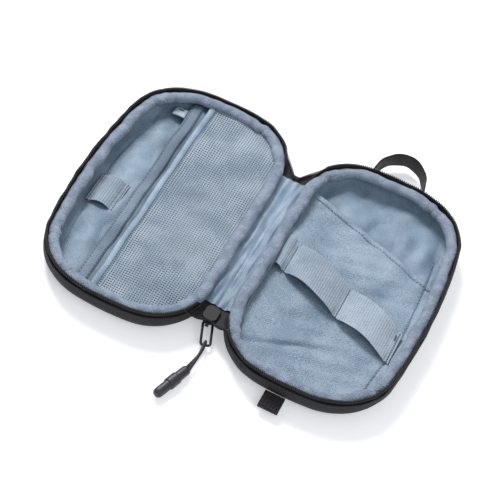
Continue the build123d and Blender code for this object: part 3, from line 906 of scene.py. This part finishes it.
def elastic_bands():
    """Wide elastic with three loops, its stitch rows and end tack, and the cover's short elastic."""
    along = np.linspace(BAND_FEET[0][0], BAND_FEET[-1][1], 190)
    across = np.linspace(0, 1, 161)[:, None]
    v = BAND_V + along * math.tan(BAND_TURN) + (across - 0.5) * BAND_WIDTH / math.cos(BAND_TURN)
    pinch = sum(crease(along - seam, 1.3) for seam in BAND_SEAMS)
    v = v + (across - 0.5) * -1.6 * pinch
    height = arched(BAND_FEET, BAND_RISES, BAND_Z + 0.85, along) + ribbed(across, 20, 0.28)
    height = height + 0.35 * waves(along, across * 25, 26, 51) * np.clip(height - BAND_Z - 1.2, 0, 1)
    height = height - 0.5 * sum(crease(along - seam, 0.8) for seam in BAND_SEAMS)
    grid = np.stack(np.broadcast_arrays(along, v, height), axis=-1)
    band = surface("elastic_webbing", grid, ELASTIC, "back_shell", thickness=0.9, node=["elastic_band"],
                   slot="elastic", facing="up")
    for k, x in enumerate(BAND_SEAMS):
        row = row_along_y(x, BAND_V + x * math.tan(BAND_TURN), 11.8, BAND_Z + 1.0)
        stitches(f"band_stitches_{k + 1}", row, DARK_THREAD, "back_shell", **HEAVY_STITCH,
                 node=["band_tacks"], slot="thread")
    x = BAND_SEAMS[-1]
    tack = row_along_y(x - 1.6, BAND_V + x * math.tan(BAND_TURN) + 7.5, 1.6, BAND_Z + 1.6, count=8)
    stitches("band_end_tack", tack, DARK_THREAD, "back_shell", pitch=0.5, length=1.2, width=0.8, slot="thread")

    low, high = reach("short_elastic_band", 0)
    middle = sum(reach("short_elastic_band", 1)) / 2
    base = reach("short_elastic_band", 2)[0]
    x = np.linspace(low, high, 60)
    short_feet = ((low, low + 2.5), (high - 2.5, high))
    rise = arched(short_feet, (3.0,), base + 1.3, x)
    y = middle + (across - 0.5) * BAND_WIDTH
    grid = np.stack(np.broadcast_arrays(x, y, rise + ribbed(across, 18, 0.3)), axis=-1)
    short = surface("short_elastic_webbing", grid, ELASTIC, "front_cover", thickness=0.9,
                    node=["short_elastic_band"], slot="elastic", facing="up")
    for k, foot in enumerate((low + 1.2, high - 1.2)):
        row = row_along_y(foot, middle, 12, base + 1.7)
        stitches(f"short_band_stitches_{k + 1}", row, DARK_THREAD, "front_cover", **HEAVY_STITCH,
                 slot="thread")


INNER_MOUTH = 20.5
MESH_MOUTH = 9.5


def inner_height(u, v):
    """Height of the cover's inner pocket: slack folds."""
    return INNER_Z + 0.4 + 0.4 * waves(u, v, 34, 61) + 0.3 * waves(u * 1.5, v * 0.7, 22, 62)


def inner_pocket():
    """Slip pocket of the cover, the grosgrain along its mouth, its stitches and the folded label."""
    edge = cut_outline(POCKET_INSET, lambda plan: plan[:, 0] - INNER_MOUTH)
    core = core_line(-15.0, np.clip(edge[:, 1] * 0.7, -50, 50))
    plan = panel(edge, 50, core)
    grid = place("front", plan, inner_height(plan[..., 0], plan[..., 1]))
    # The inner pocket's cloth is the darker taffeta with painted shade, where the mesh above shades it
    cloth = surface("inner_pocket_cloth", grid, SHADE_PAINTED_TAFFETA, "front_cover", closed=(False, True), plan=True,
                    node=["inner_pocket"], slot="lining_nylon", facing="up", weld=True)
    v = np.linspace(-88, 88, 200)
    across = np.linspace(0, 1, 7)[:, None]
    u = INNER_MOUTH + 0.4 - 8.0 * across + 0.15 * waves(v, v * 0, 50, 63)
    lift = 0.5 + 0.35 * np.sin(across * math.pi)
    trim = place("front", np.stack(np.broadcast_arrays(u, v), axis=-1), inner_height(u, v) + lift)
    ribbon = surface("inner_pocket_ribbon", trim, GROSGRAIN, "front_cover", thickness=0.5,
                     node=["inner_pocket_trim"], slot="lining_nylon", facing="up")
    for k, off in enumerate((1.2, 7.0)):
        u = INNER_MOUTH + 0.4 - off + 0.15 * waves(v, v * 0, 50, 63)
        row = place("front", np.stack([u, v], axis=-1), inner_height(u, v) + 0.85)
        stitches(f"ribbon_stitches_{k + 1}", row, DARK_THREAD, "front_cover", pitch=2.8, slot="thread")
    low, high = (np.array(corner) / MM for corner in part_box("label_tab"))
    across, along = np.meshgrid(np.linspace(-1, 1, 14), np.linspace(-1, 1, 14), indexing="ij")
    bulge = (1 - across**4) * (1 - along**4)
    middle, half = (low + high) / 2, (high - low) / 2
    grid = np.stack([middle[0] + half[0] * across, middle[1] + half[1] * along,
                     low[2] + 0.5 + 0.7 * bulge + 0.25 * across], axis=-1)
    surface("folded_label", grid, LABEL, "front_cover", thickness=0.6, node=["label_tab"], slot="lining_nylon",
            facing="up")
    x = np.linspace(middle[0] - 1.5, middle[0] + 1.5, 8)
    tack = np.stack([x, np.full(8, middle[1] + 1.2), np.full(8, high[2] + 0.35)], axis=1)
    stitches("label_tack", tack, DARK_THREAD, "front_cover", pitch=0.7, length=1.0, width=0.5, slot="thread")


MESH_PITCH = 1.7
MESH_THREAD = 0.75


def mesh_height(u, v):
    """Height of the mesh: half a millimetre below its node's lowest place, with slow waves."""
    return MESH_Z - 0.5 + 0.5 * waves(u, v, 55, 71) + 0.25 * waves(u, v, 24, 72)


def mesh_pocket():
    """Open mesh as crossing threads: a grid of cells, each with a hole, cut to the rim's outline.

    Lines of the grid stand at thread edges, and the cells between two threads are left out.
    """
    u_lines = np.arange(-51.5, MESH_MOUTH, MESH_PITCH)
    v_lines = np.arange(-95.0, 95.0, MESH_PITCH)
    u = np.sort(np.concatenate([u_lines, u_lines + MESH_THREAD]))
    v = np.sort(np.concatenate([v_lines, v_lines + MESH_THREAD]))
    u, v = np.meshgrid(u, v, indexing="ij")
    rows, columns = u.shape
    i, j = np.meshgrid(np.arange(rows - 1), np.arange(columns - 1), indexing="ij")
    corner = i * columns + j
    faces = np.stack([corner, corner + columns, corner + columns + 1, corner + 1], axis=-1)
    hole = (i % 2 == 1) & (j % 2 == 1)
    middle_u, middle_v = (u[i, j] + u[i + 1, j + 1]) / 2, (v[i, j] + v[i + 1, j + 1]) / 2
    edge_u, edge_v = rim(around(720), 6.6).T
    upper_u, upper_v = edge_u[edge_v > 0], edge_v[edge_v > 0]
    order = np.argsort(upper_u)
    widest = np.interp(middle_u, upper_u[order], upper_v[order])
    kept = ~hole & (np.abs(middle_v) < widest) & (middle_u > edge_u.min()) & (middle_u < MESH_MOUTH - 2)
    faces = faces[kept]
    drift = waves(u, v, 60, 73)
    relief = 0.12 * np.cos(u * TAU / MESH_PITCH)
    plan = np.stack([u, v + drift * np.clip((MESH_MOUTH - u) / 12, 0, 1)], axis=-1)
    points = place("front", plan, mesh_height(u, v) + relief).reshape(-1, 3)
    used, compact = np.unique(faces, return_inverse=True)
    faces = compact.reshape(-1, 4)
    points = points[used]
    net = mesh_piece("mesh_pocket_net", points, faces, MESH, "front_cover", node=["mesh_pocket"], slot="mesh",
                     lengths=points[faces][..., :2], facing="up")
    wall = net.modifiers.new("thickness", "SOLIDIFY")
    wall.thickness = 0.3 * MM
    v = np.linspace(-90, 90, 220)
    across = np.linspace(0, 1, 8)[:, None]
    bow = 0.15 * waves(v, v * 0, 70, 74)
    u = MESH_MOUTH - 4.5 * across + bow
    lift = 0.35 + 0.35 * np.sin(across * math.pi)
    hem = place("front", np.stack(np.broadcast_arrays(u, v), axis=-1), mesh_height(u, v) + lift)
    hem_strip = surface("mesh_pocket_fold", hem, SATIN, "front_cover", thickness=0.7, node=["mesh_pocket_hem"],
                        slot="mesh", facing="up")
    u = MESH_MOUTH - 3.9 + bow
    row = place("front", np.stack([u, v], axis=-1), mesh_height(u, v) + 0.6)
    stitches("mesh_hem_stitches", row, DARK_THREAD, "front_cover", pitch=2.6, slot="thread")


# ---------------------------------------------------------------- spine, gussets and zip ends

SPINE_HALF = -SIDE - SPINE_X  # from the middle of the spine to a shell's hinge line
SHEET_BEND = (2.5, 1.5)  # span before that line and after it for the spine's sheets, handed to bend_with
GUSSET_BEND = (4.5, 2.5)  # a longer span for the gussets and chain ends, handed to bend_with
# Open ends of the chain: name, way along Y, where the chain starts beside the middle of the spine
# (aside, Y, Z), and how far along the wall its gusset starts
CHAIN_ENDS = (
    ("upper", 1, (1.3, 63.5, 12.0), 59.0),
    ("lower", -1, (1.3, reach("zip_slider", 1)[0] + 1.5, 9.6), 57.0),
)


def spine_sheets():
    """Satin lining and outer cloth of the spine, each in two halves, one on each shell's side."""
    for shell, (_, way, _) in SHELLS.items():
        off = np.linspace(0, SPINE_HALF + 2.6, 26)
        v = np.linspace(-59.5, 61.5, 140)[:, None]
        x = SPINE_X + way * off
        share = off / SPINE_HALF
        fold = 0.55 * waves(v / 6, off * way, 7, 81) * np.clip(share * 2, 0, 1) * np.clip(3 - 2.6 * share, 0, 1)
        height = SPINE_LINING_Z + 0.35 + fold + 0.6 * np.clip(share, 0, 1) ** 2 - 0.35 * crease(off, 1.2)
        grid = np.stack(np.broadcast_arrays(x, v, height), axis=-1)
        sheet = surface(f"spine_lining_{shell}_half", grid, SATIN, None, plan=True, node=["spine_lining"],
                        slot="lining_nylon", facing="up")
        bend_with(sheet, shell, *SHEET_BEND)
        off = np.linspace(0, SPINE_HALF + 0.4, 12)
        v = np.linspace(-60.0, 68.0, 60)[:, None]
        height = SPINE_COVER_Z + 0.35 - 0.25 * crease(off, 2.5)
        grid = np.stack(np.broadcast_arrays(SPINE_X + way * off, v, height), axis=-1)
        cover = surface(f"spine_cover_{shell}_half", grid, OUTER, None, plan=True, thickness=0.5,
                        node=["spine_cover"], slot="outer_cloth", facing="up")
        bend_with(cover, shell, *SHEET_BEND)


def bend_with(piece, shell, before, after):
    """Bakes the piece's placement into its points; the piece keeps its shape."""
    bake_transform(piece)


def zip_ends():
    """Where the chain leaves each rim: black gusset cloth and a row of teeth down to the spine's end.

    A gusset half is ruled between the teeth's path and a line along the shell's wall.
    """
    for shell, (_, way, _) in SHELLS.items():
        for end, side, spine_point, inner_v in CHAIN_ENDS:
            v_way = side * way
            wall = rim_from(v_way, 76.0, ZIP_START)
            rim_point = place(shell, rim(np.array([wall[-1]]), TAPE_INSET), CHAIN_Z)[0]
            corner = place(shell, rim(np.array([wall[0]]), 1.0), TEETH_TOP - 3.2)[0]
            start = np.array([SPINE_X + way * spine_point[0], spine_point[1], spine_point[2]])
            belly = (start + corner) / 2 + np.array([0, side * 1.6, -0.6])
            path = spline([start, belly, corner + np.array([0, side * 1.2, 0]), rim_point], 40)
            teeth = teeth_along(f"{end}_{shell}_chain_end", resampled(path, TOOTH_PITCH), None)
            along_wall = rim_from(v_way, inner_v - 3, ZIP_START)
            rising = np.linspace(SPINE_LINING_Z - 0.3, TEETH_TOP - 2.4, len(along_wall))
            inner = place(shell, rim(along_wall, 1.2), rising)
            lead = np.array([SPINE_X, side * (inner_v - 3), SPINE_LINING_Z - 0.4])
            inner = resampled(np.vstack([lead, inner]), 1.0)
            inner = spline(inner[:: max(1, len(inner) // 8)], 40)
            outer = path - np.array([0, 0, 0.7])
            outer[0, 0] = SPINE_X
            share = np.linspace(0, 1, 10)[:, None, None]
            grid = outer + (inner - outer) * share
            grid[..., 2] -= 0.8 * np.sin(share[..., 0] * math.pi) * np.linspace(0.3, 1, 40)
            gusset = surface(f"{end}_{shell}_gusset", grid, TAPE, None, thickness=0.5,
                             node=[f"{end}_gusset"], slot="outer_cloth", facing="up")
            for piece in (teeth, gusset):
                bend_with(piece, shell, *GUSSET_BEND)


def rim_from(v_way, low, high):
    """Arc lengths on the spine side's corner between two distances from the middle of the spine.

    v_way is the sign of v at that corner.
    """
    half = slice(0, len(RIM_LENGTHS) // 2)
    away = np.abs(RIM_POINTS[half, 1])
    s = np.interp(np.linspace(low, high, 24), away[: np.argmax(away)], RIM_LENGTHS[half][: np.argmax(away)])
    return s if v_way < 0 else PERIMETER - s


# ---------------------------------------------------------------- pull, handle, loop tab

# Distance from the grip's mouth, and radius there
GRIP_PROFILE = [
    (0.0, 0.2), (0.0, 2.2), (0.35, 2.75), (1.2, 3.0), (3.0, 3.1), (9, 3.15), (14, 3.2), (20, 3.2),
    (25.0, 3.15), (26.6, 2.9), (27.6, 2.2), (28.0, 1.1), (28.0, 0.05),
]
SLEEVE_PROFILE = [
    (9.0, 2.9), (9.0, 3.5), (9.3, 3.75), (10.0, 3.8), (13.0, 3.8), (16.2, 3.8), (16.7, 3.7),
    (17.0, 3.4), (17.0, 2.9),
]


def grip():
    """Rubber grip and its raised sleeve, turned from profiles of distance and radius."""
    ahead = np.array([math.sin(GRIP_YAW), -math.cos(GRIP_YAW), 0.0])
    aside = np.cross(ahead, (0, 0, 1))
    turn = full_turn(40)[:, None]
    section = np.cos(turn) * aside + np.sin(turn) * np.array([0, 0, 1.0])
    for name, profile, node in (("rubber_grip", GRIP_PROFILE, "pull_grip"),
                                ("rubber_sleeve", SLEEVE_PROFILE, "grip_sleeve")):
        distance, radius = np.array(profile).T[:, :, None, None]
        grid = np.array(GRIP_MOUTH) + distance * ahead + radius * section
        surface(name, grid, RUBBER, "pull", closed=(False, True), node=[node], slot="grip_rubber", facing="out")


HANDLE_ARCH = [(-22.9, 96.0), (-22.8, 101.0), (-21.0, 110.5), (-15.0, 120.0), (-5.5, 124.4), (4.0, 120.5),
               (10.6, 111.0), (12.7, 101.0), (12.9, 96.0)]


def handle():
    """Grab handle: flat webbing on its edge, carried round the arch, with legs that narrow to the seam."""
    middle = sum(reach("grab_handle", 2)) / 2
    half = (reach("grab_handle", 2)[1] - reach("grab_handle", 2)[0]) / 2
    count = 120
    path = spline([(x, y, middle) for x, y in HANDLE_ARCH], count)
    out = np.clip((path[:, 1] - 99.5) / 7.5, 0, 1)
    tall = (2.4 + (half - 2.4) * out * (2 - out))[:, None]
    turn = full_turn(36)
    flat, edge = (np.sign(way) * np.abs(way) ** 0.35 for way in (np.cos(turn), np.sin(turn)))
    wave = 0.18 * np.sin(np.arange(count) * 0.35)[:, None]
    section = np.stack([0.75 * flat + wave * edge, tall * edge], axis=-1)
    grid = capped(swept(path, section, closed=False))
    strap = surface("handle_webbing", grid, WEBBING, None, closed=(False, True), node=["grab_handle"],
                    slot="webbing", facing="out", weld=True)
    recalculate(strap)
    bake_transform(strap)


def loop_tab():
    """Loop tab: ribbed webbing folded over on itself. Its section is a flat ring, carried across X."""
    (x_low, x_high), (y_low, _), (z_low, z_high) = (reach("loop_tab", axis) for axis in range(3))
    half = (z_high - z_low) / 2 - 0.4
    middle = (z_low + z_high) / 2
    turn = np.linspace(-math.pi / 2, math.pi / 2, 30)
    fold = np.stack([y_low + 0.4 + half - half * np.cos(turn), middle + half * np.sin(turn)], axis=1)
    run = np.linspace(-96.8, y_low + 0.4 + half, 26)
    loop = np.vstack([np.stack([run, np.full(26, middle - half)], axis=1), fold[1:-1],
                      np.stack([run[::-1], np.full(26, middle + half)], axis=1)])
    steps = travelled(loop)
    fine = np.linspace(0, steps[-1], 220)
    y, z = (np.interp(fine, steps, loop[:, k]) for k in (0, 1))
    away = np.stack([np.gradient(z), -np.gradient(y)], axis=1)
    away = -unit(away)
    ribs = 0.26 * np.cos(fine / 1.7 * TAU)
    y, z = y + away[:, 0] * ribs, z + away[:, 1] * ribs
    across = np.linspace(x_low, x_high, 16)[:, None]
    grid = np.stack(np.broadcast_arrays(across, y, z), axis=-1)
    tab = surface("ribbed_loop_tab", grid, WEBBING, None, thickness=0.9, node=["loop_tab"], slot="webbing",
                  facing="out")
    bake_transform(tab)


def kept_nodes():
    """CAD nodes whose shape is right, with their finishes."""
    for name, finish in (("zip_slider", SLIDER_PAINT), ("zip_puller", PULLER_PAINT),
                         ("back_padding", FOAM), ("front_padding", FOAM)):
        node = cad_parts[name]
        node.data.materials.clear()
        node.data.materials.append(finish)


for shell_name in SHELLS:
    outer_shell(shell_name)
    lining(shell_name)
    zip_on_rim(shell_name)
    binding(shell_name)
slip_pocket()
piping()
elastic_bands()
inner_pocket()
mesh_pocket()
spine_sheets()
zip_ends()
grip()
handle()
loop_tab()
kept_nodes()


# ---------------------------------------------------------------- studio

def studio():
    """Pale floor, even white surroundings, a large soft key light from the far left and a fill."""
    half, level = 3e3, -0.2
    corners = np.array([(-half, -half, level), (half, -half, level), (half, half, level), (-half, half, level)])
    floor = mesh_piece("floor", corners, np.array([(0, 1, 2, 3)]), FLOOR, None, facing="up")
    world = bpy.data.worlds.new("white studio")
    world.use_nodes = True
    world.node_tree.nodes["Background"].inputs["Color"].default_value = linear("#f3f6fb")
    world.node_tree.nodes["Background"].inputs["Strength"].default_value = 0.5
    bpy.context.scene.world = world
    for name, at, size, power in (("key", (-0.8, 0.8, 1.1), 0.6, 25), ("fill", (0.9, -0.8, 1.2), 1.2, 7)):
        lamp = bpy.data.lights.new(name, "AREA")
        lamp.size, lamp.energy = size, power
        light = bpy.data.objects.new(name, lamp)
        bpy.context.scene.collection.objects.link(light)
        light.location = at
        light.rotation_euler = (Vector((SPINE_X * MM, 0, 0)) - Vector(at)).to_track_quat("-Z", "Y").to_euler()


studio()
# The finishes are given as sRGB colours, so they are shown without a film curve
bpy.context.scene.view_settings.view_transform = "Standard"
